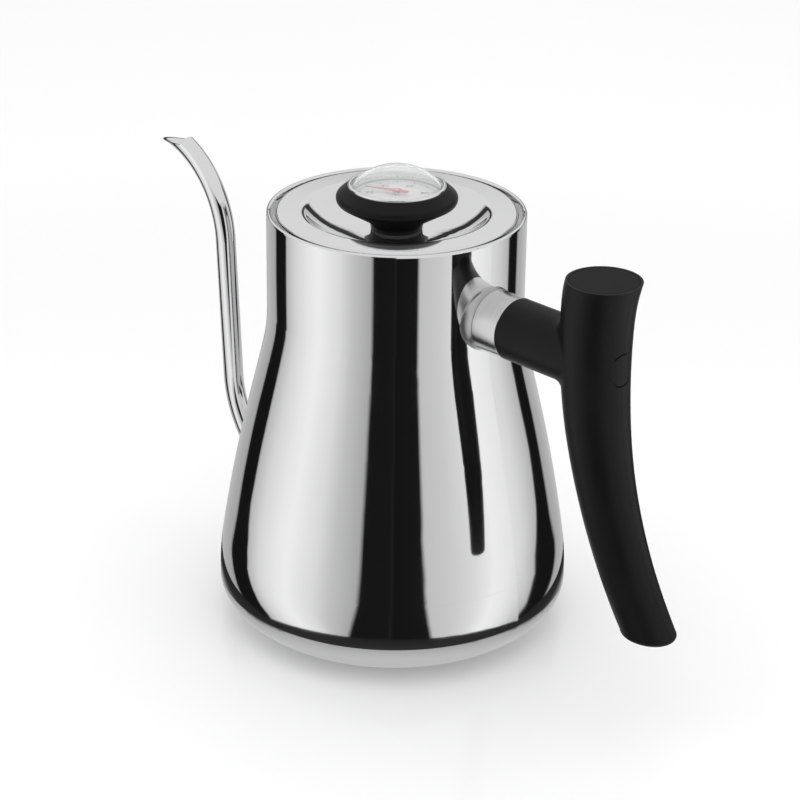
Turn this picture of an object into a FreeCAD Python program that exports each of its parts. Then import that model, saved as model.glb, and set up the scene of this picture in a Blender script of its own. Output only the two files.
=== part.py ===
import FreeCAD, Part
import os
from math import asin, atan2, cos, degrees, pi, radians, sin, sqrt, tan
from FreeCAD import Vector

# Gooseneck kettle with a thermometer lid. Millimetres, +Z up.
# The origin is on the body's axis in the plane it stands on; the handle points to +X, the spout to -X.

# Body: a drawn steel jug that narrows from a wide belly to a straight neck.
NECK_RADIUS = 50.0
RIM_Z = 170.6
BODY_WALL = 0.8
BELLY_RADIUS = 69.9
BELLY_Z = 16.9
FOOT_RADIUS = 44.8
# Where the wall's straight stretches would meet, and the radius that rounds each meeting: (r, z, radius).
LOWER_BEND = (BELLY_RADIUS, 25.8, 120.0)
FLANK_BEND = (64.4, 62.7, 650.0)
THROAT_BEND = (NECK_RADIUS, 122.7, 75.0)
HEM_THICKNESS = 1.8
HEM_Z = 167.0
BASE_THICKNESS = 1.0

# Collar inside the neck, which the lid sits on.
COLLAR_SHEET = 0.8
COLLAR_BORE = 43.2
COLLAR_LOW_Z = 155.0

# Spout: a bent tube whose last stretch is cut open into a beak.
SPOUT_RADIUS = 4.15
SPOUT_WALL = 0.6
RISER_FOOT = (-96.9, 70.6)
RISER_LEAN = 3.4
RISER_LENGTH = 59.6
SPOUT_LOW_BEND = 45.2
SPOUT_LOW_TURN = 70.5
SPOUT_TOP_BEND = 41.6
SPOUT_TOP_TURN = 74.6
BEAK_RUN = 6.1
BEAK_STEP = (-123.9, 166.5)
BEAK_SLOPE = 4.9

# Handle: steel boss and ferrule, then a moulded grip on a long screw.
STUB_Z = 140.5
STUB_RADIUS = 12.0
BOSS_END = 52.0
BOSS_FLARE = 5.0
FERRULE_END = 63.8
SPIGOT_RADIUS = 9.0
GRIP_X = 102.7
GRIP_TOP_Z = 172.0
GRIP_UPPER_Z = 154.7
GRIP_UPPER_BEND = 65.0
GRIP_LOWER_Z = 146.7
GRIP_LOWER_BEND = 191.0
GRIP_END_Z = 39.8
GRIP_FILLET = 5.0
GRIP_TOP_RADIUS = 14.0
GRIP_END_RADIUS = 9.5
GRIP_END_LENGTH = 11.2
GRIP_END_ROUND = 1.6
CAP_RADIUS = 12.9
CAP_THICKNESS = 2.0
SCREW_RADIUS = 2.48
SCREW_HEAD_RADIUS = 4.25
SCREW_HEAD_LENGTH = 5.0
COUNTERBORE_RADIUS = 6.0
COUNTERBORE_X = 99.5
WASHER_THICKNESS = 1.0
PLUG_START = 108.5
GROOVE_WIDTH = 0.45
GROOVE_DEPTH = 0.8

# Lid: a dished steel cover on a shallow pan.
LID_RADIUS = 46.6
LID_SHEET = 0.8
LID_EDGE_Z = 167.3
SHOULDER_RADIUS = 37.0
SHOULDER_ROUND = 3.0
DISH_DEPTH = 8.0
SEAT_RADIUS = 15.0
PAN_RADIUS = 41.5
PAN_SHEET = 0.6
PAN_LOW_Z = 152.0
SEAL_RADIUS = 42.9

# Knob and the thermometer in it.
KNOB_STEM_RADIUS = 10.0
KNOB_STEM_ROUND = 4.4
KNOB_FLARE_Z = 166.0
KNOB_RADIUS = 23.4
KNOB_LOW_Z = 174.0
KNOB_HIGH_Z = 176.5
KNOB_TOP_RADIUS = 19.4
KNOB_TOP_Z = 180.0
GASKET_THICKNESS = 0.8
CASE_RADIUS = 18.9
CASE_FLOOR_Z = 173.5
CASE_SHEET = 0.7
LENS_FLANGE_Z = 179.3
LENS_FLANGE = 1.0
LENS_RADIUS = 18.1
DOME_RADIUS = 17.4
DOME_TOP_Z = 188.0
LENS_THICKNESS = 1.2
BEZEL_TOP_Z = 181.0
DIAL_Z = 176.6
DIAL_SHEET = 0.4
POINTER_Z = 178.0
POINTER_ANGLE = -156.0
POINTER_LENGTH = 13.5
SHAFT_RADIUS = 0.5
BUSH_RADIUS = 4.0
PROBE_RADIUS = 3.0
PROBE_WALL = 0.5
PROBE_TIP_Z = 78.0
NUT_ACROSS_FLATS = 13.0
NUT_HEIGHT = 4.0
LID_WASHER_RADIUS = 8.0

# Clearances between neighbours.
FIT = 0.05


def at(r, z, y=0.0):
    """A point in the upright plane through the axis."""
    return Vector(r, y, z)


def rounded_edges(vertices, closed=False):
    """Edges through (r, z) or (r, z, radius) vertices, each corner rounded by its radius."""
    points = [at(v[0], v[1]) for v in vertices]
    radii = [v[2] if len(v) > 2 else 0.0 for v in vertices]
    count = len(points)
    joints = []
    for i, corner in enumerate(points):
        inner = closed or 0 < i < count - 1
        if not inner or radii[i] <= 0.0:
            joints.append((corner, None, corner))
            continue
        back = (points[i - 1] - corner).normalize()
        ahead = (points[(i + 1) % count] - corner).normalize()
        half = back.getAngle(ahead) / 2.0
        reach = radii[i] / tan(half)
        centre = corner + (back + ahead).normalize() * (radii[i] / sin(half))
        middle = centre + (corner - centre).normalize() * radii[i]
        joints.append((corner + back * reach, middle, corner + ahead * reach))
    edges = []
    for i, (start, middle, end) in enumerate(joints):
        if middle is not None:
            edges.append(Part.Arc(start, middle, end).toShape())
        if i == count - 1 and not closed:
            break
        following = joints[(i + 1) % count][0]
        if end.distanceToPoint(following) > 1e-6:
            edges.append(Part.makeLine(end, following))
    return edges


def offset_vertices(vertices, distance):
    """The same open outline moved to its right by distance, with its radii kept concentric."""
    moved = []
    last = len(vertices) - 1
    for i, vertex in enumerate(vertices):
        here = at(vertex[0], vertex[1])
        into = (here - at(*vertices[i - 1][:2])).normalize() if i > 0 else None
        out = (at(*vertices[i + 1][:2]) - here).normalize() if i < last else None
        into = into or out
        out = out or into
        right_in = Vector(into.z, 0, -into.x)
        right_out = Vector(out.z, 0, -out.x)
        bisector = (right_in + right_out).normalize()
        shift = here + bisector * (distance / bisector.dot(right_in))
        left_turn = into.x * out.z - into.z * out.x > 0
        radius = vertex[2] if len(vertex) > 2 else 0.0
        if radius > 0.0:
            radius = radius + distance if left_turn else radius - distance
        moved.append((shift.x, shift.z, max(radius, 0.0)))
    return moved


def spin(edges):
    """A ring-shaped solid from closed edges in the upright plane."""
    face = Part.Face(Part.Wire(Part.__sortEdges__(edges)))
    return face.revolve(Vector(0, 0, 0), Vector(0, 0, 1), 360)


def turned(vertices):
    """A solid of revolution from a closed outline of (r, z, radius) vertices."""
    return spin(rounded_edges(vertices, closed=True))


def turned_sheet(vertices, thickness):
    """A solid of revolution from a bent sheet, given its left-hand side."""
    far_side = offset_vertices(vertices, thickness)
    edges = rounded_edges(vertices) + rounded_edges(far_side)
    edges.append(Part.makeLine(at(*vertices[0][:2]), at(*far_side[0][:2])))
    edges.append(Part.makeLine(at(*vertices[-1][:2]), at(*far_side[-1][:2])))
    return spin(edges)


def upright(radius, low, high):
    """A cylinder on the body's axis."""
    return Part.makeCylinder(radius, high - low, Vector(0, 0, low))


def along_stub(radius, start, end):
    """A cylinder on the handle's horizontal axis."""
    return Part.makeCylinder(radius, end - start, Vector(start, 0, STUB_Z), Vector(1, 0, 0))


def hexagon_prism(across_flats, base, direction, length):
    """A hexagonal prism standing on base along direction."""
    corner = across_flats / sqrt(3.0)
    turn = FreeCAD.Rotation(Vector(0, 0, 1), direction)
    corners = [Vector(corner * cos(radians(60 * i)), corner * sin(radians(60 * i)), 0) for i in range(7)]
    outline = Part.makePolygon([base + turn.multVec(c) for c in corners])
    return Part.Face(outline).extrude(direction * length)


def wall_vertices(top_z):
    """The body wall's outside, from the belly up to top_z."""
    return [(BELLY_RADIUS, BELLY_Z), LOWER_BEND, FLANK_BEND, THROAT_BEND, (NECK_RADIUS, top_z)]


def body_outline():
    """The body as a filled solid, from the belly up to the mouth."""
    return turned([(0, BELLY_Z)] + wall_vertices(HEM_Z) + [(0, HEM_Z)])


def foot_edge(inset):
    """A quarter ellipse from the foot's edge up to the belly."""
    centre = at(FOOT_RADIUS, BELLY_Z)
    half_width = BELLY_RADIUS - FOOT_RADIUS - inset
    half_height = BELLY_Z - inset
    ellipse = Part.Ellipse(centre + at(half_width, 0), centre + at(0, half_height), centre)
    return Part.Edge(ellipse, 1.5 * pi, 2.0 * pi)


def body_shell():
    """Drawn wall, with its top edge folded in to a rounded lip."""
    lip_z = RIM_Z - HEM_THICKNESS / 2
    outside = wall_vertices(lip_z)
    inside = offset_vertices(wall_vertices(HEM_Z), -BODY_WALL)
    inner_neck = NECK_RADIUS - HEM_THICKNESS
    edges = [foot_edge(0.0), foot_edge(BODY_WALL)]
    edges += rounded_edges(outside) + rounded_edges(inside)
    crown = at(NECK_RADIUS - HEM_THICKNESS / 2, RIM_Z)
    edges.append(Part.Arc(at(NECK_RADIUS, lip_z), crown, at(inner_neck, lip_z)).toShape())
    edges.append(Part.makeLine(at(inner_neck, lip_z), at(inner_neck, HEM_Z)))
    edges.append(Part.makeLine(at(inner_neck, HEM_Z), at(NECK_RADIUS - BODY_WALL, HEM_Z)))
    edges.append(Part.makeLine(at(FOOT_RADIUS, 0), at(FOOT_RADIUS, BODY_WALL)))
    return spin(edges).cut(spout_bar(SPOUT_RADIUS))


def base_plate():
    """Flat floor welded inside the foot, with one pressed ring on its underside."""
    ring = upright(38.5, 0, 0.3).cut(upright(37.0, 0, 0.3))
    return upright(FOOT_RADIUS, 0, BASE_THICKNESS).cut(ring)


def mouth_collar():
    """Pressed ring in the neck: a ledge for the lid and a short skirt that guides it."""
    outline = [(NECK_RADIUS - BODY_WALL, HEM_Z), (COLLAR_BORE, HEM_Z, 1.4), (COLLAR_BORE, COLLAR_LOW_Z)]
    return turned_sheet(outline, -COLLAR_SHEET)


def spout_path():
    """Centreline of the spout: low bend, leaning riser, top bend and a short run to the beak."""
    lean = radians(RISER_LEAN)
    foot = at(*RISER_FOOT)
    top = foot + at(-sin(lean), cos(lean)) * RISER_LENGTH
    inward = at(cos(lean), sin(lean))
    low_centre = foot + inward * SPOUT_LOW_BEND
    top_centre = top - inward * SPOUT_TOP_BEND

    def low(turn):
        angle = pi + lean + radians(turn)
        return low_centre + at(cos(angle), sin(angle)) * SPOUT_LOW_BEND

    def high(turn):
        angle = lean + radians(turn)
        return top_centre + at(cos(angle), sin(angle)) * SPOUT_TOP_BEND

    end_heading = radians(RISER_LEAN + SPOUT_TOP_TURN)
    last = high(SPOUT_TOP_TURN)
    beak = last + at(-sin(end_heading), cos(end_heading)) * BEAK_RUN
    edges = [Part.Arc(low(SPOUT_LOW_TURN), low(SPOUT_LOW_TURN / 2), foot).toShape()]
    edges.append(Part.makeLine(foot, top))
    edges.append(Part.Arc(top, high(SPOUT_TOP_TURN / 2), last).toShape())
    edges.append(Part.makeLine(last, beak))
    return Part.Wire(edges)


def spout_bar(radius):
    """The spout's outline as a solid bar of the given radius."""
    path = spout_path()
    start = path.OrderedVertexes[0].Point
    heading = path.OrderedEdges[0].tangentAt(path.OrderedEdges[0].FirstParameter)
    ring = Part.Wire(Part.makeCircle(radius, start, heading))
    return path.makePipe(Part.Face(ring))


def spout_tube():
    """Thin bent tube; past the step only its lower half goes on, as an open beak."""
    tube = spout_bar(SPOUT_RADIUS).cut(spout_bar(SPOUT_RADIUS - SPOUT_WALL))
    slope = radians(BEAK_SLOPE)
    step = at(*BEAK_STEP, -10)
    reach = 25.0
    rise = reach * tan(radians(19.0))
    corners = [step, step + at(rise / 2.4, reach / 2.4), step + at(-reach, reach / 2.4)]
    corners += [step + at(-reach, -reach * tan(slope)), step]
    cutter = Part.Face(Part.makePolygon(corners)).extrude(Vector(0, 20, 0))
    return tube.cut(cutter)


def handle_boss():
    """Short steel stub that flares towards the neck, saddle-cut to it, with a threaded hole."""
    turn = radians(60.0)
    flare_centre = at(BOSS_END, STUB_Z + STUB_RADIUS + BOSS_FLARE)
    start = at(BOSS_END, STUB_Z + STUB_RADIUS)
    middle = flare_centre - at(sin(turn / 2), cos(turn / 2)) * BOSS_FLARE
    root = flare_centre - at(sin(turn), cos(turn)) * BOSS_FLARE
    edges = [Part.makeLine(at(BOSS_END, STUB_Z), start), Part.Arc(start, middle, root).toShape()]
    edges += [Part.makeLine(root, at(root.x, STUB_Z)), Part.makeLine(at(root.x, STUB_Z), at(BOSS_END, STUB_Z))]
    boss = Part.Face(Part.Wire(edges)).revolve(at(0, STUB_Z), Vector(1, 0, 0), 360)
    boss = boss.cut(body_outline())
    return boss.cut(along_stub(SCREW_RADIUS + 0.02, root.x - 1, BOSS_END))


def handle_ferrule():
    """Steel sleeve between the boss and the grip."""
    ferrule = along_stub(STUB_RADIUS, BOSS_END, FERRULE_END)
    rims = [e for e in ferrule.Edges if isinstance(e.Curve, Part.Circle)]
    ferrule = ferrule.makeChamfer(0.25, rims)
    return ferrule.cut(along_stub(SPIGOT_RADIUS + FIT, BOSS_END, FERRULE_END))


def grip_station(z):
    """Centre and lean, in degrees, of the grip's centreline at height z."""
    if z >= GRIP_UPPER_Z:
        lean = asin((z - GRIP_UPPER_Z) / GRIP_UPPER_BEND)
        return at(GRIP_X + GRIP_UPPER_BEND * (1 - cos(lean)), z), degrees(lean)
    if z <= GRIP_LOWER_Z:
        lean = asin((GRIP_LOWER_Z - z) / GRIP_LOWER_BEND)
        return at(GRIP_X + GRIP_LOWER_BEND * (1 - cos(lean)), z), -degrees(lean)
    return at(GRIP_X, z), 0.0


def grip_bar():
    """The grip's outer shape: round sections along a gently bent centreline, widest at the top."""
    sections = [(160.0, 13.5), (STUB_Z, 12.95), (119.0, 12.25), (98.0, 11.3), (77.0, 10.5), (58.0, 9.9)]
    rings = [grip_ring(GRIP_TOP_RADIUS, cap_place(), 0.0)]
    for z, radius in sections:
        rings.append(grip_ring(radius, *grip_station(z)))
    centre = grip_station(GRIP_END_Z + GRIP_END_ROUND)[0]
    end = Part.Wire(Part.Ellipse(centre, GRIP_END_LENGTH, GRIP_END_RADIUS).toShape())
    rings.append(end)
    tail = Part.Face(end).extrude(Vector(0, 0, -GRIP_END_ROUND))
    low_edges = [e for e in tail.Edges if e.BoundBox.ZMax < GRIP_END_Z + 0.1]
    tail = tail.makeFillet(GRIP_END_ROUND - 0.1, low_edges)
    smooth_degree = 3
    return Part.makeLoft(rings, True, False, False, smooth_degree).fuse(tail)


def grip_ring(radius, centre, lean):
    """One round section of the grip, square to its centreline."""
    ring = Part.makeCircle(radius)
    ring.rotate(Vector(0, 0, 0), Vector(0, 1, 0), lean)
    ring.translate(centre)
    return Part.Wire(ring)


def cap_place():
    """Centre of the grip's flat top."""
    return grip_station(GRIP_TOP_Z)[0]


def handle_grip():
    """Moulded grip with its stub, spigot, screw bore and a recess for the top cap."""
    grip = grip_bar().fuse(along_stub(STUB_RADIUS - FIT, FERRULE_END, GRIP_X))
    grip = grip.makeFillet(GRIP_FILLET, [e for e in grip.Edges if is_stub_corner(e)])
    grip = grip.fuse(along_stub(SPIGOT_RADIUS, BOSS_END + 0.5, FERRULE_END + 1))
    grip = grip.cut(along_stub(SCREW_RADIUS + 0.3, BOSS_END, COUNTERBORE_X + 1))
    grip = grip.cut(along_stub(COUNTERBORE_RADIUS, COUNTERBORE_X, GRIP_X + 30))
    grip = grip.cut(plug_groove())
    top = cap_place()
    recess = Part.makeCylinder(CAP_RADIUS + FIT, CAP_THICKNESS, top - Vector(0, 0, CAP_THICKNESS))
    return grip.cut(recess)


def is_stub_corner(edge):
    """Whether an edge is the seam where the stub meets the grip."""
    box = edge.BoundBox
    return box.XMin > FERRULE_END + 5 and box.XMax < GRIP_X - 3


def grip_top_cap():
    """Inset disc that closes the grip's top, with a rounded edge."""
    top = cap_place()
    cap = Part.makeCylinder(CAP_RADIUS, CAP_THICKNESS, top - Vector(0, 0, CAP_THICKNESS))
    rim = [e for e in cap.Edges if e.BoundBox.ZMin > top.z - 0.1]
    return cap.makeFillet(0.35, rim)


def plug_groove():
    """Shallow ring cut into the grip around the screw plug."""
    surface = GRIP_X + 13.0
    return along_stub(COUNTERBORE_RADIUS + GROOVE_WIDTH, surface - GROOVE_DEPTH, surface + 10)


def grip_screw_plug():
    """Round plug over the screw head, its outer end following the grip."""
    plug = along_stub(COUNTERBORE_RADIUS - FIT, PLUG_START, GRIP_X + 30)
    return plug.common(grip_bar())


def handle_screw():
    """Socket-head screw through the grip into the boss."""
    seat = COUNTERBORE_X + WASHER_THICKNESS
    head = along_stub(SCREW_HEAD_RADIUS, seat, seat + SCREW_HEAD_LENGTH)
    shank = along_stub(SCREW_RADIUS, NECK_RADIUS + 0.5, seat)
    socket_end = Vector(seat + SCREW_HEAD_LENGTH, 0, STUB_Z)
    socket = hexagon_prism(4.0, socket_end, Vector(-1, 0, 0), 2.5)
    return head.fuse(shank).cut(socket)


def handle_washer():
    """Flat washer under the screw head."""
    washer = along_stub(5.6, COUNTERBORE_X, COUNTERBORE_X + WASHER_THICKNESS)
    return washer.cut(along_stub(SCREW_RADIUS + 0.1, COUNTERBORE_X, COUNTERBORE_X + WASHER_THICKNESS))


def seat_z():
    """Height of the flat seat in the middle of the dish."""
    return RIM_Z - DISH_DEPTH


def lid_cover():
    """Pressed cover: flat seat, round dish, rounded shoulder, flat ring and a folded edge."""
    run = SHOULDER_RADIUS - SEAT_RADIUS
    turn = 2.0 * atan2(DISH_DEPTH, run)
    both_radii = run / sin(turn)
    dish_radius = both_radii - SHOULDER_ROUND
    foot = dish_radius * tan(turn / 2)
    brow = SHOULDER_ROUND * tan(turn / 2)
    outline = [(BUSH_RADIUS + FIT, seat_z()), (SEAT_RADIUS + foot, seat_z(), dish_radius)]
    outline += [(SHOULDER_RADIUS - brow, RIM_Z, SHOULDER_ROUND), (LID_RADIUS, RIM_Z, 1.1)]
    outline += [(LID_RADIUS, LID_EDGE_Z)]
    return turned_sheet(outline, LID_SHEET)


def lid_pan():
    """Shallow pan under the cover, which centres the lid in the collar."""
    outline = [(BUSH_RADIUS + FIT, PAN_LOW_Z + PAN_SHEET), (PAN_RADIUS - PAN_SHEET, PAN_LOW_Z + PAN_SHEET, 2.0)]
    outline += [(PAN_RADIUS - PAN_SHEET, RIM_Z - LID_SHEET)]
    return turned_sheet(outline, PAN_SHEET)


def lid_seal():
    """Silicone ring with two soft lips around the pan."""
    low = 157.5
    outline = [(PAN_RADIUS, low), (PAN_RADIUS + 0.6, low), (SEAL_RADIUS, low + 0.9, 0.2)]
    outline += [(PAN_RADIUS + 0.6, low + 1.5), (PAN_RADIUS + 0.6, low + 3.0), (SEAL_RADIUS, low + 3.9, 0.2)]
    outline += [(PAN_RADIUS + 0.6, low + 4.5), (PAN_RADIUS, low + 4.5)]
    return turned(outline)


def knob_gasket():
    """Silicone washer between the knob and the dish."""
    low = seat_z()
    return upright(KNOB_STEM_RADIUS - 0.3, low, low + GASKET_THICKNESS).cut(
        upright(BUSH_RADIUS + FIT, low, low + GASKET_THICKNESS))


def knob():
    """Moulded knob: slim stem flaring to a broad head with a pocket for the thermometer."""
    low = seat_z() + GASKET_THICKNESS
    pocket = CASE_RADIUS + FIT
    outline = [(BUSH_RADIUS + FIT, low), (KNOB_STEM_RADIUS, low)]
    outline += [(KNOB_STEM_RADIUS, KNOB_FLARE_Z, KNOB_STEM_ROUND), (KNOB_RADIUS, KNOB_LOW_Z, 2.2)]
    outline += [(KNOB_RADIUS, KNOB_HIGH_Z, 2.2), (KNOB_TOP_RADIUS, KNOB_TOP_Z, 0.5), (pocket, KNOB_TOP_Z)]
    outline += [(pocket, CASE_FLOOR_Z), (BUSH_RADIUS + FIT, CASE_FLOOR_Z)]
    return turned(outline)


def thermometer_case():
    """Shallow steel cup in the knob's pocket."""
    outline = [(BUSH_RADIUS + FIT, CASE_FLOOR_Z + CASE_SHEET), (LENS_RADIUS + 0.1, CASE_FLOOR_Z + CASE_SHEET, 0.5)]
    outline += [(LENS_RADIUS + 0.1, LENS_FLANGE_Z)]
    return turned_sheet(outline, CASE_SHEET)


def thermometer_lens():
    """Clear dome on a flat flange."""
    rise = DOME_TOP_Z - LENS_FLANGE_Z - LENS_FLANGE
    sphere = (DOME_RADIUS ** 2 + rise ** 2) / (2 * rise)
    centre_z = DOME_TOP_Z - sphere
    outside = Part.makeSphere(sphere, Vector(0, 0, centre_z))
    outside = outside.common(upright(DOME_RADIUS + 1, LENS_FLANGE_Z + LENS_FLANGE, DOME_TOP_Z + 1))
    flange = upright(LENS_RADIUS, LENS_FLANGE_Z, LENS_FLANGE_Z + LENS_FLANGE)
    hollow = Part.makeSphere(sphere - LENS_THICKNESS, Vector(0, 0, centre_z))
    hollow = hollow.common(upright(DOME_RADIUS - 0.2, LENS_FLANGE_Z - 1, DOME_TOP_Z))
    return flange.fuse(outside).cut(hollow)


def thermometer_bezel():
    """Bright ring that holds the lens down on the case."""
    top = LENS_FLANGE_Z + LENS_FLANGE
    outline = [(LENS_RADIUS + FIT, LENS_FLANGE_Z), (CASE_RADIUS, LENS_FLANGE_Z), (CASE_RADIUS, BEZEL_TOP_Z, 0.6)]
    outline += [(DOME_RADIUS + 0.25, BEZEL_TOP_Z, 0.2), (DOME_RADIUS + 0.25, top), (LENS_RADIUS + FIT, top)]
    return turned(outline)


def dial():
    """Printed disc with a turned-down edge that stands on the case floor."""
    edge = LENS_RADIUS - 0.4
    outline = [(SHAFT_RADIUS + 0.06, DIAL_Z), (edge, DIAL_Z, 0.6), (edge, CASE_FLOOR_Z + CASE_SHEET)]
    return turned_sheet(outline, DIAL_SHEET)


def pointer():
    """Tapered hand with a round hub and a short tail."""
    tip = Vector(POINTER_LENGTH, 0, POINTER_Z)
    corners = [Vector(-4.5, 1.1, POINTER_Z), Vector(-4.5, -1.1, POINTER_Z), Vector(1.0, -1.3, POINTER_Z), tip]
    corners += [Vector(1.0, 1.3, POINTER_Z), corners[0]]
    blade = Part.Face(Part.makePolygon(corners)).extrude(Vector(0, 0, 0.3))
    hub = upright(1.7, POINTER_Z - 0.2, POINTER_Z + 0.5)
    hand = blade.fuse(hub).cut(upright(SHAFT_RADIUS, POINTER_Z - 1, POINTER_Z + 1))
    hand.rotate(Vector(0, 0, 0), Vector(0, 0, 1), POINTER_ANGLE)
    return hand


def pointer_shaft():
    """Thin shaft from the coil up to the hand."""
    return upright(SHAFT_RADIUS, PROBE_TIP_Z + 4, POINTER_Z + 0.6)


def probe_bush():
    """Threaded sleeve that clamps case, knob, cover and pan together."""
    top = CASE_FLOOR_Z + CASE_SHEET
    low = PAN_LOW_Z - NUT_HEIGHT - 2
    sleeve = upright(BUSH_RADIUS, low, top + 0.8).fuse(upright(6.0, top, top + 0.8))
    return sleeve.cut(upright(PROBE_RADIUS, low - 1, top + 2))


def probe_tube():
    """Closed tube that reaches down into the water."""
    top = CASE_FLOOR_Z + CASE_SHEET + 1.2
    outer = upright(PROBE_RADIUS, PROBE_TIP_Z, top)
    tip_rim = [e for e in outer.Edges if e.BoundBox.ZMax < PROBE_TIP_Z + 0.1]
    outer = outer.makeFillet(PROBE_RADIUS - 0.6, tip_rim)
    return outer.cut(upright(PROBE_RADIUS - PROBE_WALL, PROBE_TIP_Z + 2.5, top))


def lid_washer():
    """Flat washer under the pan."""
    top = PAN_LOW_Z
    return upright(LID_WASHER_RADIUS, top - 1.0, top).cut(upright(BUSH_RADIUS + FIT, top - 1.0, top))


def lid_nut():
    """Hexagon nut on the bush."""
    base = Vector(0, 0, PAN_LOW_Z - 1.0 - NUT_HEIGHT)
    nut = hexagon_prism(NUT_ACROSS_FLATS, base, Vector(0, 0, 1), NUT_HEIGHT)
    return nut.cut(upright(BUSH_RADIUS, base.z, base.z + NUT_HEIGHT))


def bimetal_coil():
    """Helical strip near the probe's tip, which turns the shaft as it warms."""
    coil_radius = 1.7
    pitch = 1.6
    height = 22.4
    low = PROBE_TIP_Z + 5
    path = Part.makeHelix(pitch, height, coil_radius)
    ring = Part.Wire(Part.makeCircle(0.25, Vector(coil_radius, 0, 0), Vector(0, 1, 0)))
    coil = Part.Wire(path).makePipeShell([ring], True, True)
    coil.translate(Vector(0, 0, low))
    return coil


NODES = [
    body_shell, base_plate, mouth_collar, spout_tube,
    handle_boss, handle_ferrule, handle_grip, grip_top_cap, grip_screw_plug, handle_screw, handle_washer,
    lid_cover, lid_pan, lid_seal, knob_gasket, knob,
    thermometer_case, thermometer_lens, thermometer_bezel, dial, pointer, pointer_shaft,
    probe_bush, probe_tube, lid_washer, lid_nut, bimetal_coil,
]

os.makedirs("parts", exist_ok=True)
for make in NODES:
    shape = make()
    box = shape.BoundBox
    print(f"{make.__name__:18s} valid {shape.isValid()} solids {len(shape.Solids)} volume {shape.Volume:9.1f}"
          f" x {box.XMin:.1f} {box.XMax:.1f} y {box.YMin:.1f} {box.YMax:.1f} z {box.ZMin:.1f} {box.ZMax:.1f}")
    shape.exportStep(f"parts/{make.__name__}.step")
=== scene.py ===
import math

import bpy
from mathutils import Matrix, Vector


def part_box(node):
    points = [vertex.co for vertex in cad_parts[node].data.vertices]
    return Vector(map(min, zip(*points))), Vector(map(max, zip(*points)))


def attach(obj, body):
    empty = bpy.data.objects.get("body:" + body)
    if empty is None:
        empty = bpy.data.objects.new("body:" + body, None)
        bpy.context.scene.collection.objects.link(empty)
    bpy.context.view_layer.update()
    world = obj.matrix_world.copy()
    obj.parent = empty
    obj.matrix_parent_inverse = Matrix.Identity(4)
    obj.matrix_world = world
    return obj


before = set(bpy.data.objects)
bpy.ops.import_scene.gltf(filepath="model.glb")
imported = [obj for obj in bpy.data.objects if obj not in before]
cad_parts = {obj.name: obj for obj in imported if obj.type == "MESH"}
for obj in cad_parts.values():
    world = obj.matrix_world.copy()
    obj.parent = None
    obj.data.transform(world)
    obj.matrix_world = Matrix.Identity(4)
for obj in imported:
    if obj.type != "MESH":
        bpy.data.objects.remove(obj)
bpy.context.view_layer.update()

# Lengths are in metres. MM turns a length given in millimetres into metres.
MM = 0.001

# The camera: azimuth and elevation round the kettle, distance from the aim point, and the point's place.
# The lens and the sensor are in millimetres.
CAMERA_AZIMUTH = math.radians(45.0)
CAMERA_ELEVATION = math.radians(24.5)
CAMERA_DISTANCE = 989.6 * MM
CAMERA_ROLL = math.radians(0.78)
AIM_HEIGHT = 90.4 * MM
AIM_RIGHT = 2.2 * MM
CAMERA_LENS = 112.5
SENSOR_WIDTH = 36.0
CLIP_START = 0.05
CLIP_END = 50.0

# Where parts are, from the frame.
cap_low, cap_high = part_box("grip_top_cap")
cap_centre = (cap_low + cap_high) / 2
dial_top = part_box("dial")[1].z

# Half the width of the parting line on the grip.
SEAM_WIDTH = 0.18 * MM

# The print on the dial: how far it is turned, its sweep from 0 to 100 in degrees, and its rings.
# The pointer's own sweep is turned 45 degrees further than the print, so the readings don't match it.
DIAL_TURN = math.radians(45.0)
DIAL_SWEEP = 270.0
PRINT_THICKNESS = 0.04 * MM
TICK_OUTER = 15.6 * MM
TICK_INNER = 13.6 * MM
MINOR_TICK_INNER = TICK_INNER + 1.0 * MM
ZONE_INNER = TICK_INNER - 1.6 * MM
ZONE_OUTER = TICK_INNER - 0.3 * MM
NUMBER_RADIUS = 10.6 * MM
NUMBER_SIZE = 3.2 * MM
# Half the width of a tick, and where the two zones start and end, all as readings.
MAJOR_TICK_HALF = 0.28
MINOR_TICK_HALF = 0.14
BREW_ZONE = (84, 95)
BOIL_ZONE = (95.5, 100)

# The sockets of a Mix node that mixes colours.
MIX_FACTOR = 0
MIX_FIRST = 6
MIX_SECOND = 7
MIX_RESULT = 2

# The studio's colours are painted reflections: it glows but lights nothing, and its panels, black bands,
# rings, card and roof show only in the steel and the floor's gloss.
# The studio is a round stage seen only in reflections: in the steel, and in the floor's gloss, where low
# views from the side or back show its far edge. U runs round it, and V from the foot out and up. Its stops
# and bearings are set so that the steel shows soft panels between black bands.
# Its panels: (bearing from the camera's side in degrees, brightness).
PANELS = [
    (-180, 0.56), (-158, 0.53), (-144, 0.42), (-142, 0.008), (-112.5, 0.008), (-110.5, 0.55),
    (-96, 0.80), (-80, 0.96), (-70, 1.02), (-50, 0.84), (-38, 0.63), (-26, 0.50), (-22, 0.45), (-20, 0.009),
    (-1.2, 0.010), (0, 0.016), (1.2, 0.008), (20, 0.010), (22, 0.62), (40, 0.70), (56, 0.82), (72, 1.02),
    (84, 0.96), (100, 0.80), (118, 0.56), (121, 0.50), (122.5, 0.008), (139.5, 0.008), (141.5, 0.42),
    (156, 0.55), (180, 0.60)]
# Where the black bands' edges are along the panels.
BAND_EDGES = (-180, -143, -111.5, -21, 21, 121.8, 140.5, 180)
# Brightness of the studio's rings close to the foot, along V: a painted reflection in the kettle's base, a
# painted light band in place of the shade under the belly, then a painted dark ring of shade.
PAINTED_FOOT_REFLECTION = [(0.0, 0.50), (0.10, 0.60), (0.19, 0.46), (0.215, 0.14), (0.235, 0.03), (0.29, 0.02)]
FOOT_RINGS_END = 0.30
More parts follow.
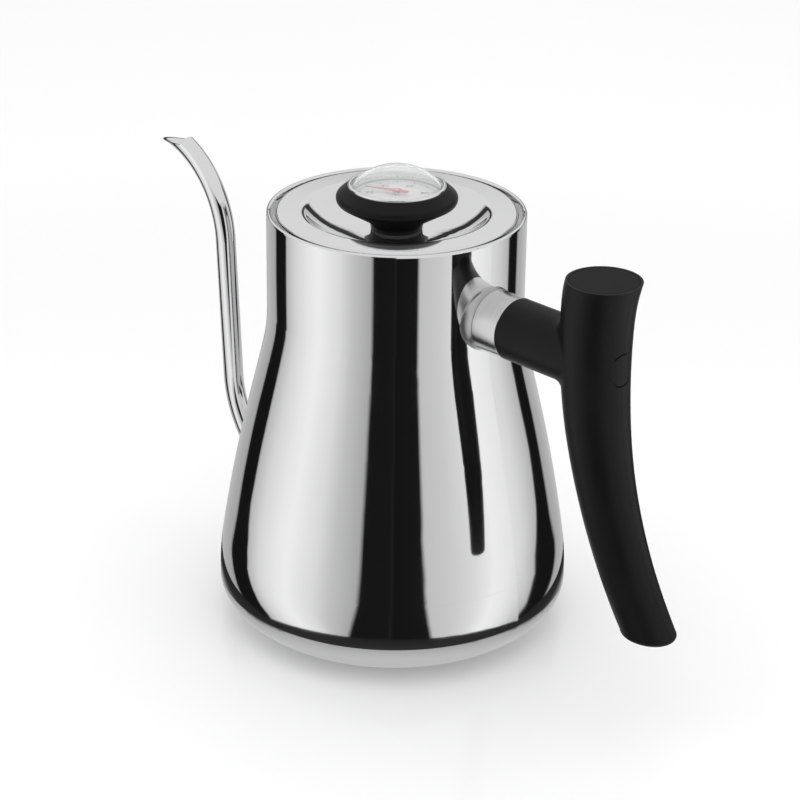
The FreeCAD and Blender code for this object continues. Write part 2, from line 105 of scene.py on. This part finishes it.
# How much smaller the foot's rings are, at this bearing and beyond, than at the front.
FOOT_DRAW_IN = 0.12
DRAW_IN_BEARING = 60.0
ROOF_GREY = 0.80
ROOF_START = [(0.835, 0.0), (0.845, 1.0)]
# A dark card on the studio's wall behind the kettle, a painted dark reflection in the steel: its heights
# along V and its span along U.
CARD_HEIGHTS = [(0.775, 0.0), (0.779, 0.97), (0.826, 0.97), (0.831, 0.0)]
CARD_SPAN = [(0.060, 1.0), (0.076, 0.0), (0.916, 0.0), (0.932, 1.0)]
CARD_GREY = 0.02
# Where the lowest rows lie over the floor, and half the gap in V between the rings and the panels.
GROUND = 0.0006
ROW_GAP = 0.0001
# The studio's rows from the foot out and up: (radius, height, place along V, bearings of the bands' edges).
FOOT_EDGES = (-80, -57, -19, 18, 60, 82)
FAR_EDGES = (-127, -110, -19.6, 19.4, 114, 130)
STUDIO_ROWS = [
    (0.046, GROUND, 0.0, FOOT_EDGES), (0.090, GROUND, 0.18, FOOT_EDGES), (0.101, GROUND, 0.235, FOOT_EDGES),
    (0.112, GROUND, FOOT_RINGS_END - ROW_GAP, FOOT_EDGES),
    (0.1125, GROUND, FOOT_RINGS_END + ROW_GAP, FOOT_EDGES),
    (0.14, GROUND, 0.32, (-108, -84, -19, 18, 81, 113)),
    (0.18, 0.0007, 0.36, (-113, -94, -18.7, 18.3, 91, 116)),
    (0.25, 0.0008, 0.4, (-120, -103, -18.6, 18.3, 104, 121.5)),
    (0.40, 0.001, 0.45, (-126, -107.5, -18.8, 18.8, 111.5, 127)),
    (0.60, 0.0013, 0.5, (-127, -109.3, -19.2, 18.6, 113, 129)),
    (1.0, 0.002, 0.6, FAR_EDGES), (1.6, 0.004, 0.65, FAR_EDGES), (1.7, 0.06, 0.7, FAR_EDGES),
    (1.72, 1.06, 0.9, FAR_EDGES), (1.7, 1.2, 1.0, FAR_EDGES), (1.5, 1.5, 1.0, FAR_EDGES),
    (0.9, 2.4, 1.0, FAR_EDGES), (0.01, 2.7, 1.0, FAR_EDGES)]
STUDIO_STEPS = 240

# The floor, the lamp over the kettle and the even light all round.
FLOOR_HALF = 9
LAMP_PLACE = (0.1, 0.0, 1.5)
LAMP_TARGET = (0, 0, 0.1)
LAMP_SIZE = 1.6
LAMP_POWER = 3
WORLD_STRENGTH = 1.10


# ---------------------------------------------------------------- materials

class Nodes:
    """A small helper that builds a node tree for one material."""

    def __init__(self, name):
        self.material = bpy.data.materials.new(name)
        self.material.use_nodes = True
        self.tree = self.material.node_tree
        self.shader = self.tree.nodes["Principled BSDF"]

    def set(self, **values):
        """Sets sockets of the shader by name, with _ for a space."""
        for key, value in values.items():
            self.shader.inputs[key.replace("_", " ")].default_value = value

    def add(self, kind, **settings):
        """Adds a node and sets its own settings."""
        node = self.tree.nodes.new(kind)
        for key, value in settings.items():
            setattr(node, key, value)
        return node

    def link(self, source, target):
        self.tree.links.new(source, target)

    def coordinates(self, scale=(1, 1, 1)):
        place = self.add("ShaderNodeTexCoord")
        mapping = self.add("ShaderNodeMapping")
        mapping.inputs["Scale"].default_value = scale
        self.link(place.outputs["Object"], mapping.inputs["Vector"])
        return mapping.outputs["Vector"]

    def noise(self, vector, scale, detail=2.0, roughness=0.5):
        node = self.add("ShaderNodeTexNoise")
        node.inputs["Scale"].default_value = scale
        node.inputs["Detail"].default_value = detail
        node.inputs["Roughness"].default_value = roughness
        self.link(vector, node.inputs["Vector"])
        return node.outputs["Fac"]

    def spread(self, value, low, high, source_low=0.3, source_high=0.7):
        node = self.add("ShaderNodeMapRange")
        node.inputs["From Min"].default_value = source_low
        node.inputs["From Max"].default_value = source_high
        node.inputs["To Min"].default_value = low
        node.inputs["To Max"].default_value = high
        self.link(value, node.inputs["Value"])
        return node.outputs["Result"]

    def blend_colour(self, factor, first, second):
        node = self.add("ShaderNodeMix", data_type="RGBA")
        node.inputs[MIX_FIRST].default_value = (*first, 1)
        node.inputs[MIX_SECOND].default_value = (*second, 1)
        self.link(factor, node.inputs[MIX_FACTOR])
        return node.outputs[MIX_RESULT]

    def roughness(self, value, low, high):
        """Lets the roughness follow a value, from low to high."""
        self.link(self.spread(value, low, high), self.shader.inputs["Roughness"])

    def colour(self, value, first, second):
        """Lets the colour follow a value, from first to second."""
        self.link(self.blend_colour(value, first, second), self.shader.inputs["Base Color"])

    def bump(self, height, strength, distance):
        node = self.add("ShaderNodeBump")
        node.inputs["Strength"].default_value = strength
        node.inputs["Distance"].default_value = distance
        self.link(height, node.inputs["Height"])
        self.link(node.outputs["Normal"], self.shader.inputs["Normal"])
        return node


def polished_steel():
    """Mirror finish with faint polishing haze."""
    nodes = Nodes("polished_steel")
    nodes.set(Metallic=1.0)
    vector = nodes.coordinates()
    haze = nodes.noise(vector, 28.0, 3.0)
    nodes.roughness(haze, 0.035, 0.075)
    nodes.colour(haze, (0.80, 0.80, 0.81), (0.85, 0.85, 0.855))
    return nodes.material


def brushed_steel(name, axis_scale, roughness, tone=1.0):
    """Fine lines across the given axis."""
    nodes = Nodes(name)
    nodes.set(Metallic=1.0)
    lines = nodes.noise(nodes.coordinates(axis_scale), 1.0, 4.0, 0.7)
    nodes.roughness(lines, roughness - 0.06, roughness + 0.08)
    dark, light = 0.60 * tone, 0.78 * tone
    nodes.colour(lines, (dark, dark, dark), (light, light, light))
    nodes.bump(lines, 0.25, 0.05 * MM)
    return nodes.material


def black_moulding(name, seam=False):
    """Satin black plastic with a fine moulded grain and, where seam is set, a parting line at Y = 0."""
    nodes = Nodes(name)
    nodes.set(IOR=1.5, Specular_IOR_Level=0.16)
    vector = nodes.coordinates()
    grain = nodes.noise(vector, 2600.0, 2.0)
    wear = nodes.noise(vector, 60.0, 4.0)
    nodes.roughness(wear, 0.36, 0.46)
    nodes.colour(wear, (0.004, 0.004, 0.0045), (0.0065, 0.0065, 0.007))
    grain_bump = nodes.bump(grain, 0.25, 0.04 * MM)
    if seam:
        parts = nodes.add("ShaderNodeSeparateXYZ")
        nodes.link(vector, parts.inputs["Vector"])
        side = nodes.add("ShaderNodeMath", operation="ABSOLUTE")
        nodes.link(parts.outputs["Y"], side.inputs[0])
        line_bump = nodes.bump(nodes.spread(side.outputs["Value"], 0.0, 1.0, 0.0, SEAM_WIDTH), 0.8, 0.10 * MM)
        # The line's bump feeds the grain's, which then goes to the shader again.
        nodes.link(line_bump.outputs["Normal"], grain_bump.inputs["Normal"])
        nodes.link(grain_bump.outputs["Normal"], nodes.shader.inputs["Normal"])
    return nodes.material


def black_cap():
    """Black disc with fine rings round its centre."""
    nodes = Nodes("black_cap")
    nodes.set(Specular_IOR_Level=0.05)
    place = nodes.add("ShaderNodeTexCoord")
    shift = nodes.add("ShaderNodeVectorMath", operation="SUBTRACT")
    shift.inputs[1].default_value = cap_centre
    length = nodes.add("ShaderNodeVectorMath", operation="LENGTH")
    nodes.link(place.outputs["Object"], shift.inputs[0])
    nodes.link(shift.outputs["Vector"], length.inputs[0])
    rings = nodes.add("ShaderNodeCombineXYZ")
    nodes.link(length.outputs["Value"], rings.inputs["X"])
    lines = nodes.noise(rings.outputs["Vector"], 3500.0, 3.0)
    nodes.roughness(lines, 0.30, 0.42)
    nodes.colour(lines, (0.006, 0.006, 0.0065), (0.011, 0.011, 0.0115))
    nodes.bump(lines, 0.35, 0.05 * MM)
    return nodes.material


def speckled(name, scale, detail, roughness, first, second):
    """A plain finish whose roughness and colour vary a little from speck to speck."""
    nodes = Nodes(name)
    speck = nodes.noise(nodes.coordinates(), scale, detail)
    nodes.roughness(speck, *roughness)
    nodes.colour(speck, first, second)
    return nodes.material


def silicone():
    """Dull dark rubber with a trace of dust."""
    return speckled("silicone", 300.0, 3.0, (0.55, 0.7), (0.05, 0.05, 0.052), (0.075, 0.075, 0.078))


def clear_lens():
    """Thin clear plastic with a slight milky haze."""
    nodes = Nodes("clear_lens")
    nodes.set(Base_Color=(0.97, 0.98, 0.98, 1), IOR=1.22, Transmission_Weight=0.82)
    haze = nodes.noise(nodes.coordinates(), 220.0, 2.0)
    nodes.roughness(haze, 0.03, 0.08)
    return nodes.material


def dial_paint():
    """The dial's white face."""
    return speckled("dial_paint", 900.0, 2.0, (0.28, 0.36), (0.80, 0.80, 0.79), (0.86, 0.86, 0.85))


def ink(name, first, second):
    """Flat printing ink with a slight mottle."""
    return speckled(name, 1200.0, 2.0, (0.40, 0.52), first, second)


def pointer_paint():
    """Glossy red paint."""
    return speckled("pointer_paint", 700.0, 2.0, (0.25, 0.35), (0.50, 0.012, 0.02), (0.60, 0.02, 0.03))


def bimetal():
    """Rolled brass-coloured strip with fine streaks."""
    nodes = Nodes("bimetal")
    nodes.set(Metallic=1.0)
    streak = nodes.noise(nodes.coordinates((400, 400, 4000)), 1.0, 3.0)
    nodes.roughness(streak, 0.3, 0.45)
    nodes.colour(streak, (0.60, 0.46, 0.26), (0.72, 0.58, 0.36))
    return nodes.material


def paint(node, material):
    """Gives a CAD node's object its material."""
    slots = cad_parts[node].data.materials
    slots.clear()
    slots.append(material)


steel = polished_steel()
turned_steel = brushed_steel("turned_steel", (9000, 60, 60), 0.20)
boss_steel = brushed_steel("boss_steel", (9000, 60, 60), 0.34, 0.78)
inner_steel = brushed_steel("inner_steel", (60, 60, 1800), 0.24)
fastener_steel = brushed_steel("fastener_steel", (900, 900, 900), 0.32)
moulding = black_moulding("black_moulding")
grip_moulding = black_moulding("grip_moulding", seam=True)
FINISH = {
    "body_shell": steel, "base_plate": steel, "mouth_collar": inner_steel, "spout_tube": steel,
    "handle_boss": boss_steel, "handle_ferrule": turned_steel, "handle_grip": grip_moulding,
    "grip_top_cap": black_cap(), "grip_screw_plug": moulding, "handle_screw": fastener_steel,
    "handle_washer": fastener_steel, "lid_cover": steel, "lid_pan": inner_steel, "lid_seal": silicone(),
    "knob_gasket": silicone(), "knob": moulding, "thermometer_case": steel, "thermometer_lens": clear_lens(),
    "thermometer_bezel": steel, "dial": dial_paint(), "pointer": pointer_paint(),
    "pointer_shaft": fastener_steel, "probe_bush": fastener_steel, "probe_tube": inner_steel,
    "lid_washer": fastener_steel, "lid_nut": fastener_steel, "bimetal_coil": bimetal(),
}
for node_name, finish_material in FINISH.items():
    paint(node_name, finish_material)


# ---------------------------------------------------------------- dial print

def dial_point(reading, radius):
    """A point on the dial at a reading from 0 to 100."""
    angle = math.pi / 2 + DIAL_TURN + math.radians(DIAL_SWEEP * (0.5 - reading / 100))
    return Vector((radius * math.cos(angle), radius * math.sin(angle), dial_top))


def printed(name, outlines, material):
    """A thin print on the dial: one flat prism for each outline."""
    corners = []
    faces = []
    lift = Vector((0, 0, PRINT_THICKNESS))
    for outline in outlines:
        first = len(corners)
        count = len(outline)
        corners += outline + [point + lift for point in outline]
        faces.append([first + i for i in reversed(range(count))])
        faces.append([first + count + i for i in range(count)])
        for i in range(count):
            after = (i + 1) % count
            faces.append([first + i, first + after, first + count + after, first + count + i])
    mesh = bpy.data.meshes.new(name)
    mesh.from_pydata(corners, [], faces)
    mesh.materials.append(material)
    piece = bpy.data.objects.new(name, mesh)
    bpy.context.scene.collection.objects.link(piece)
    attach(piece, "lid")


def block(start, end, inner, outer):
    """The outline of a ring-shaped block between two readings, going anticlockwise."""
    steps = max(1, round(abs(end - start)))
    readings = [end + (start - end) * i / steps for i in range(steps + 1)]
    outside = [dial_point(reading, outer) for reading in readings]
    inside = [dial_point(reading, inner) for reading in reversed(readings)]
    return outside + inside


def tick(reading, half_width, inner):
    """The outline of one tick."""
    return block(reading - half_width, reading + half_width, inner, TICK_OUTER)


def dial_number(reading, material):
    """One number, upright as the dial is read."""
    text = bpy.data.curves.new(f"dial_number_{reading}", "FONT")
    text.body = str(reading)
    text.size = NUMBER_SIZE
    text.align_x = "CENTER"
    text.align_y = "CENTER"
    text.extrude = PRINT_THICKNESS / 2
    text.materials.append(material)
    piece = bpy.data.objects.new(f"dial_number_{reading}", text)
    piece.location = dial_point(reading, NUMBER_RADIUS) + Vector((0, 0, PRINT_THICKNESS / 2))
    piece.rotation_euler = (0, 0, DIAL_TURN)
    bpy.context.scene.collection.objects.link(piece)
    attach(piece, "lid")


def dial_print():
    """Ticks, two zones and numbers, each a piece that lies on the dial."""
    black_ink = ink("black_ink", (0.010, 0.010, 0.011), (0.022, 0.022, 0.023))
    red_ink = ink("red_ink", (0.48, 0.010, 0.015), (0.58, 0.016, 0.022))
    yellow_ink = ink("yellow_ink", (0.78, 0.56, 0.10), (0.84, 0.62, 0.14))
    major = [tick(reading, MAJOR_TICK_HALF, TICK_INNER) for reading in range(0, 101, 10)]
    minor = [tick(reading, MINOR_TICK_HALF, MINOR_TICK_INNER) for reading in range(0, 101, 2) if reading % 10]
    printed("dial_major_ticks", major, black_ink)
    printed("dial_minor_ticks", minor, black_ink)
    printed("dial_brew_zone", [block(*BREW_ZONE, ZONE_INNER, ZONE_OUTER)], yellow_ink)
    printed("dial_boil_mark", [block(*BOIL_ZONE, ZONE_INNER, ZONE_OUTER)], red_ink)
    for reading in range(0, 101, 20):
        dial_number(reading, black_ink)


dial_print()


# ---------------------------------------------------------------- camera

def make_camera():
    """The camera, aimed at a point on the kettle's axis moved a little to the right."""
    forward = Vector((
        -math.sin(CAMERA_AZIMUTH) * math.cos(CAMERA_ELEVATION),
        math.cos(CAMERA_AZIMUTH) * math.cos(CAMERA_ELEVATION),
        -math.sin(CAMERA_ELEVATION)))
    right = Vector((math.cos(CAMERA_AZIMUTH), math.sin(CAMERA_AZIMUTH), 0))
    up = right.cross(forward)
    rolled_right = right * math.cos(CAMERA_ROLL) + up * math.sin(CAMERA_ROLL)
    rolled_up = up * math.cos(CAMERA_ROLL) - right * math.sin(CAMERA_ROLL)
    aim = right * AIM_RIGHT + Vector((0, 0, AIM_HEIGHT))
    turn = Matrix((rolled_right, rolled_up, -forward)).transposed().to_4x4()
    camera = bpy.data.objects.new("camera", bpy.data.cameras.new("camera"))
    camera.data.lens = CAMERA_LENS
    camera.data.sensor_width = SENSOR_WIDTH
    camera.data.clip_start = CLIP_START
    camera.data.clip_end = CLIP_END
    camera.matrix_world = Matrix.Translation(aim - forward * CAMERA_DISTANCE) @ turn
    bpy.context.scene.collection.objects.link(camera)
    bpy.context.scene.camera = camera


make_camera()


# ---------------------------------------------------------------- stage

def stage_mesh(name, corners, faces, material):
    """A mesh that isn't part of the kettle."""
    mesh = bpy.data.meshes.new(name)
    mesh.from_pydata([Vector(corner) for corner in corners], [], faces)
    piece = bpy.data.objects.new(name, mesh)
    piece.data.materials.append(material)
    bpy.context.scene.collection.objects.link(piece)
    return piece


def reflection_only(piece):
    """Seen in reflections, and nowhere else."""
    piece.visible_camera = False
    piece.visible_diffuse = False
    piece.visible_shadow = False
    piece.visible_transmission = False
    piece.visible_volume_scatter = False


def floor_material():
    """Pale and slightly glossy."""
    nodes = Nodes("floor")
    nodes.set(Base_Color=(0.92, 0.92, 0.92, 1), Roughness=0.16, Specular_IOR_Level=0.25)
    return nodes.material


def one_sided_glow(name, colour_of):
    """Emission on a face's front and nothing on its back. colour_of makes the colour's nodes."""
    material = bpy.data.materials.new(name)
    material.use_nodes = True
    tree = material.node_tree
    tree.nodes.clear()
    shine = tree.nodes.new("ShaderNodeEmission")
    tree.links.new(colour_of(tree), shine.inputs["Color"])
    clear = tree.nodes.new("ShaderNodeBsdfTransparent")
    side = tree.nodes.new("ShaderNodeNewGeometry")
    mix = tree.nodes.new("ShaderNodeMixShader")
    tree.links.new(side.outputs["Backfacing"], mix.inputs["Fac"])
    # The two shader inputs share one name, so they are taken by number.
    tree.links.new(shine.outputs["Emission"], mix.inputs[1])
    tree.links.new(clear.outputs["BSDF"], mix.inputs[2])
    out = tree.nodes.new("ShaderNodeOutputMaterial")
    tree.links.new(mix.outputs["Shader"], out.inputs["Surface"])
    return material


def grey_ramp(tree, source, stops):
    """A colour ramp of greys along source, from (place, value) stops."""
    ramp = tree.nodes.new("ShaderNodeValToRGB")
    elements = ramp.color_ramp.elements
    elements.remove(elements[1])
    elements[0].position = stops[0][0]
    elements[0].color = (stops[0][1], stops[0][1], stops[0][1], 1)
    for place, value in stops[1:]:
        elements.new(place).color = (value, value, value, 1)
    tree.links.new(source, ramp.inputs["Fac"])
    return ramp.outputs["Color"]


def colour_mix(tree, factor, first, second):
    """first where factor is 0 and second, a colour or a grey, where it is 1."""
    mix = tree.nodes.new("ShaderNodeMix")
    mix.data_type = "RGBA"
    tree.links.new(factor, mix.inputs[MIX_FACTOR])
    tree.links.new(first, mix.inputs[MIX_FIRST])
    if isinstance(second, float):
        mix.inputs[MIX_SECOND].default_value = (second, second, second, 1)
    else:
        tree.links.new(second, mix.inputs[MIX_SECOND])
    return mix.outputs[MIX_RESULT]


def studio_colour(tree):
    """Painted reflections: soft panels between black bands along U, and the rings near the kettle's foot
    along V.
    """
    place = tree.nodes.new("ShaderNodeUVMap")
    place.uv_map = "studio"
    split = tree.nodes.new("ShaderNodeSeparateXYZ")
    tree.links.new(place.outputs["UV"], split.inputs["Vector"])
    along, out = split.outputs["X"], split.outputs["Y"]
    near_foot = tree.nodes.new("ShaderNodeMath")
    near_foot.operation = "LESS_THAN"
    near_foot.inputs[1].default_value = FOOT_RINGS_END
    tree.links.new(out, near_foot.inputs[0])
    panels = grey_ramp(tree, along, [((bearing + 180) / 360, value) for bearing, value in PANELS])
    rings = grey_ramp(tree, out, PAINTED_FOOT_REFLECTION)
    ground = colour_mix(tree, near_foot.outputs["Value"], panels, rings)
    card = tree.nodes.new("ShaderNodeMath")
    card.operation = "MULTIPLY"
    tree.links.new(grey_ramp(tree, out, CARD_HEIGHTS), card.inputs[0])
    tree.links.new(grey_ramp(tree, along, CARD_SPAN), card.inputs[1])
    wall = colour_mix(tree, card.outputs["Value"], ground, CARD_GREY)
    return colour_mix(tree, grey_ramp(tree, out, ROOF_START), wall, ROOF_GREY)


def band_place(bearing, edges):
    """Where a bearing of the panels lies in one row, from the bearings of the bands' edges there."""
    marks = (-180, *edges, 180)
    for i, end in enumerate(BAND_EDGES[1:]):
        if bearing <= end:
            share = (bearing - BAND_EDGES[i]) / (end - BAND_EDGES[i])
            return marks[i] + (marks[i + 1] - marks[i]) * share
    return bearing


def foot_share(bearing, v):
    """The rings near the foot are drawn in towards the sides."""
    if v > FOOT_RINGS_END + ROW_GAP:
        return 1.0
    return 1.0 - FOOT_DRAW_IN * min(1.0, (bearing / DRAW_IN_BEARING) ** 2)


def studio():
    """The round stage of painted reflections: rings just over the floor, panels with black bands, a dark card
    and a plain roof.
    """
    corners = []
    marks = []
    for step in range(STUDIO_STEPS + 1):
        bearing = -180 + 360 * step / STUDIO_STEPS
        for radius, height, v, edges in STUDIO_ROWS:
            placed = band_place(bearing, edges)
            reach = radius * foot_share(placed, v)
            angle = CAMERA_AZIMUTH - math.pi / 2 + math.radians(placed)
            corners.append((reach * math.cos(angle), reach * math.sin(angle), height))
            marks.append((step / STUDIO_STEPS, v))
    rows = len(STUDIO_ROWS)
    faces = []
    for step in range(STUDIO_STEPS):
        for row in range(rows - 1):
            first = step * rows + row
            faces.append((first, first + 1, first + rows + 1, first + rows))
    piece = stage_mesh("studio", corners, faces, one_sided_glow("studio", studio_colour))
    layer = piece.data.uv_layers.new(name="studio")
    for loop in piece.data.loops:
        layer.data[loop.index].uv = marks[loop.vertex_index]
    reflection_only(piece)


def floor():
    """The plain pale floor that the kettle stands on."""
    half = FLOOR_HALF
    corners = [(-half, -half, 0), (half, -half, 0), (half, half, 0), (-half, half, 0)]
    stage_mesh("floor", corners, [(0, 1, 2, 3)], floor_material())


def lamp():
    """A wide soft lamp over the kettle, left out of reflections."""
    light = bpy.data.lights.new("top_softbox", "AREA")
    light.shape = "RECTANGLE"
    light.size = LAMP_SIZE
    light.size_y = LAMP_SIZE
    light.energy = LAMP_POWER
    holder = bpy.data.objects.new("top_softbox", light)
    holder.location = LAMP_PLACE
    holder.rotation_euler = (Vector(LAMP_TARGET) - Vector(LAMP_PLACE)).to_track_quat("-Z", "Y").to_euler()
    holder.visible_glossy = False
    bpy.context.scene.collection.objects.link(holder)


def even_light():
    """White light from all round."""
    world = bpy.data.worlds.new("studio")
    bpy.context.scene.world = world
    world.use_nodes = True
    background = world.node_tree.nodes["Background"]
    background.inputs["Color"].default_value = (1, 1, 1, 1)
    background.inputs["Strength"].default_value = WORLD_STRENGTH


studio()
floor()
lamp()
even_light()
bpy.context.scene.view_settings.view_transform = "Standard"
